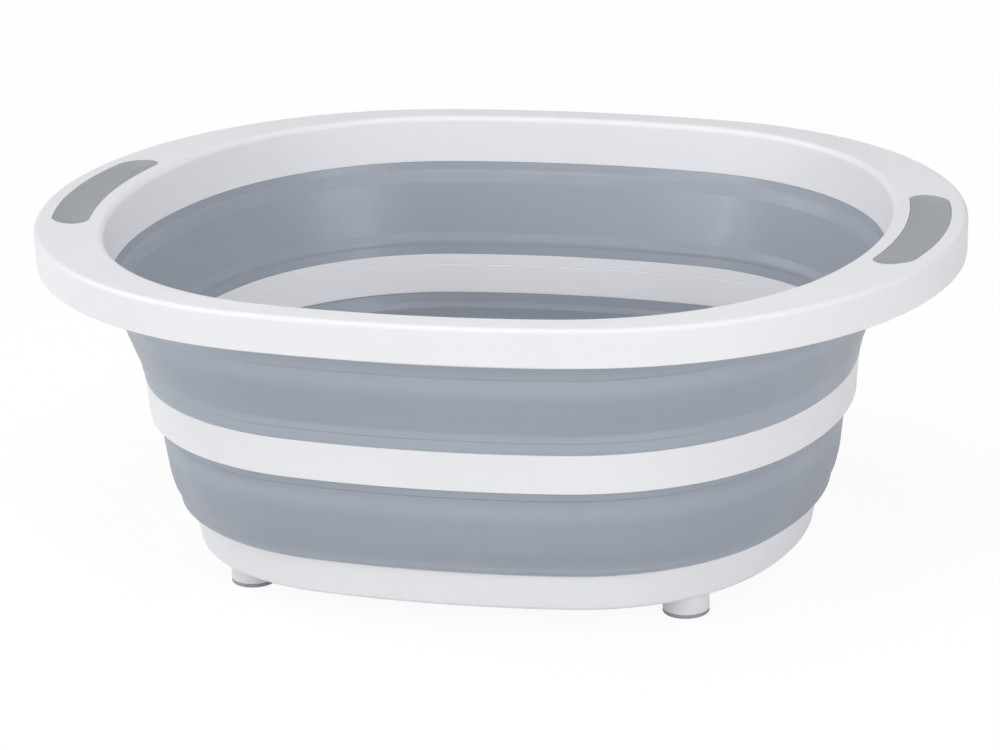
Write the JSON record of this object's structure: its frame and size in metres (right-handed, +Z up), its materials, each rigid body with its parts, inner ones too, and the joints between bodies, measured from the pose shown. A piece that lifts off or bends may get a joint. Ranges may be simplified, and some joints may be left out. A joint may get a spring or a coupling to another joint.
{
  "type": "collapsible washing up bowl",
  "caption": "Oval folding washing up bowl: rigid rim with soft end grips, rigid middle band and footed base, joined by soft walls that fold down flat.",
  "frame": {"origin": "on the table, under the middle of the bowl", "axes": "+X along the bowl towards the right grip, +Y towards the far side of the bowl in the picture, +Z up"},
  "size_m": [0.4198, 0.3372, 0.158],
  "materials": {
    "white_plastic": "satin moulded polypropylene",
    "soft_wall": "satin thermoplastic elastomer",
    "soft_grip": "matte thermoplastic elastomer",
    "soft_foot": "matte thermoplastic elastomer"
  },
  "bodies": {
    "base": {"base_tray": "white_plastic", "lower_wall": "soft_wall", "front_left_foot_pad": "soft_foot", "front_right_foot_pad": "soft_foot", "rear_left_foot_pad": "soft_foot", "rear_right_foot_pad": "soft_foot"},
    "ring": {"middle_ring": "white_plastic", "upper_wall": "soft_wall"},
    "rim": {"rim_frame": "white_plastic", "left_grip": "soft_grip", "right_grip": "soft_grip"}
  },
  "joints": [
    {"name": "lower_fold", "type": "slide", "parent": "base", "child": "ring", "axis": [0, 0, -1], "range_m": [0, 0.06], "deforming": ["lower_wall"]},
    {"name": "upper_fold", "type": "slide", "parent": "ring", "child": "rim", "axis": [0, 0, -1], "range_m": [0, 0.06], "deforming": ["upper_wall"]}
  ]
}
